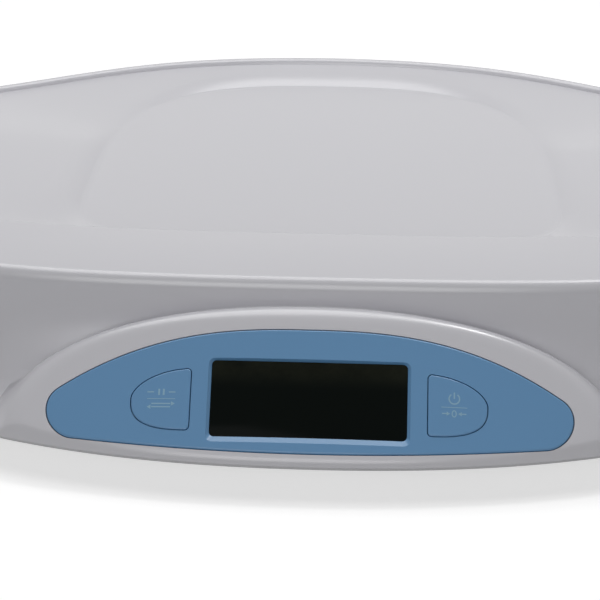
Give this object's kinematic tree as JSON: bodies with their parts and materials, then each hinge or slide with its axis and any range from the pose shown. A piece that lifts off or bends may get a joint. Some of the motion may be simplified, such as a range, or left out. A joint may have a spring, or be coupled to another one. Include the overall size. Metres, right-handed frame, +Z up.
{
  "type": "digital baby weighing scale",
  "caption": "Digital baby weighing scale with a shallow white dish, a sloping blue console with display and buttons, and load-cell feet.",
  "frame": {"origin": "centre of the bounding box's bottom face, on the surface that the feet stand on", "axes": "+X to the user's right along the tray's length, -Y towards the user and the console, +Z up"},
  "size_m": [0.52, 0.35, 0.08],
  "materials": {
    "white_casing": "satin moulded plastic",
    "grey_base": "fine textured plastic",
    "blue_panel": "satin blue plastic",
    "window": "dark clear acrylic",
    "display": "dark display cell",
    "white_parts": "white moulded plastic",
    "soft_rubber": "matt rubber",
    "board": "green circuit board",
    "chips": "black moulded parts",
    "steel": "plated steel",
    "leads": "red insulated wire",
    "cables": "white insulated cable",
    "battery_jacket": "plain dark jacket"
  },
  "bodies": {
    "casing": {"tray_shell": "white_casing", "base_shell": "grey_base", "control_panel": "blue_panel", "display_lens": "window", "lcd_glass": "display", "lcd_frame": "white_parts", "contact_strips": "soft_rubber", "backlight_panel": "white_parts", "main_board": "board", "board_parts": "chips", "cable_socket": "white_parts", "hold_switch": "steel", "zero_switch": "steel", "board_screws": "steel", "case_screws": "steel", "battery_box": "grey_base", "battery_contacts": "steel", "battery_leads": "leads", "battery_1": "battery_jacket", "battery_2": "battery_jacket", "battery_3": "battery_jacket", "battery_4": "battery_jacket", "load_cell_fl": "steel", "load_cell_fr": "steel", "load_cell_bl": "steel", "load_cell_br": "steel", "retainer_fl": "grey_base", "retainer_fr": "grey_base", "retainer_bl": "grey_base", "retainer_br": "grey_base", "cell_lead_fl": "cables", "cell_lead_fr": "cables", "cell_lead_bl": "cables", "cell_lead_br": "cables"},
    "hold_key": {"hold_button": "blue_panel", "hold_plunger": "chips"},
    "zero_key": {"zero_button": "blue_panel", "zero_plunger": "chips"},
    "door": {"battery_door": "grey_base"},
    "foot_fl": {"foot_cup_fl": "white_parts", "foot_pad_fl": "soft_rubber"},
    "foot_fr": {"foot_cup_fr": "white_parts", "foot_pad_fr": "soft_rubber"},
    "foot_bl": {"foot_cup_bl": "white_parts", "foot_pad_bl": "soft_rubber"},
    "foot_br": {"foot_cup_br": "white_parts", "foot_pad_br": "soft_rubber"}
  },
  "joints": [
    {"name": "hold_press", "type": "slide", "parent": "casing", "child": "hold_key", "axis": [0, 0.7431, -0.6691], "range_m": [0, 0.0006], "stiffness_N_per_m": 1500, "springref_m": -0.0004},
    {"name": "zero_press", "type": "slide", "parent": "casing", "child": "zero_key", "axis": [0, 0.7431, -0.6691], "range_m": [0, 0.0006], "stiffness_N_per_m": 1500, "springref_m": -0.0004},
    {"name": "door_hinge", "type": "hinge", "parent": "casing", "child": "door", "pos_m": [0, 0.01075, 0.0128], "axis": [1, 0, 0], "range_deg": [-90, 0]},
    {"name": "foot_fl_drop", "type": "slide", "parent": "casing", "child": "foot_fl", "axis": [0, 0, 1], "range_m": [-0.0006, 0]},
    {"name": "foot_fr_drop", "type": "slide", "parent": "casing", "child": "foot_fr", "axis": [0, 0, 1], "range_m": [-0.0006, 0]},
    {"name": "foot_bl_drop", "type": "slide", "parent": "casing", "child": "foot_bl", "axis": [0, 0, 1], "range_m": [-0.0006, 0]},
    {"name": "foot_br_drop", "type": "slide", "parent": "casing", "child": "foot_br", "axis": [0, 0, 1], "range_m": [-0.0006, 0]}
  ]
}
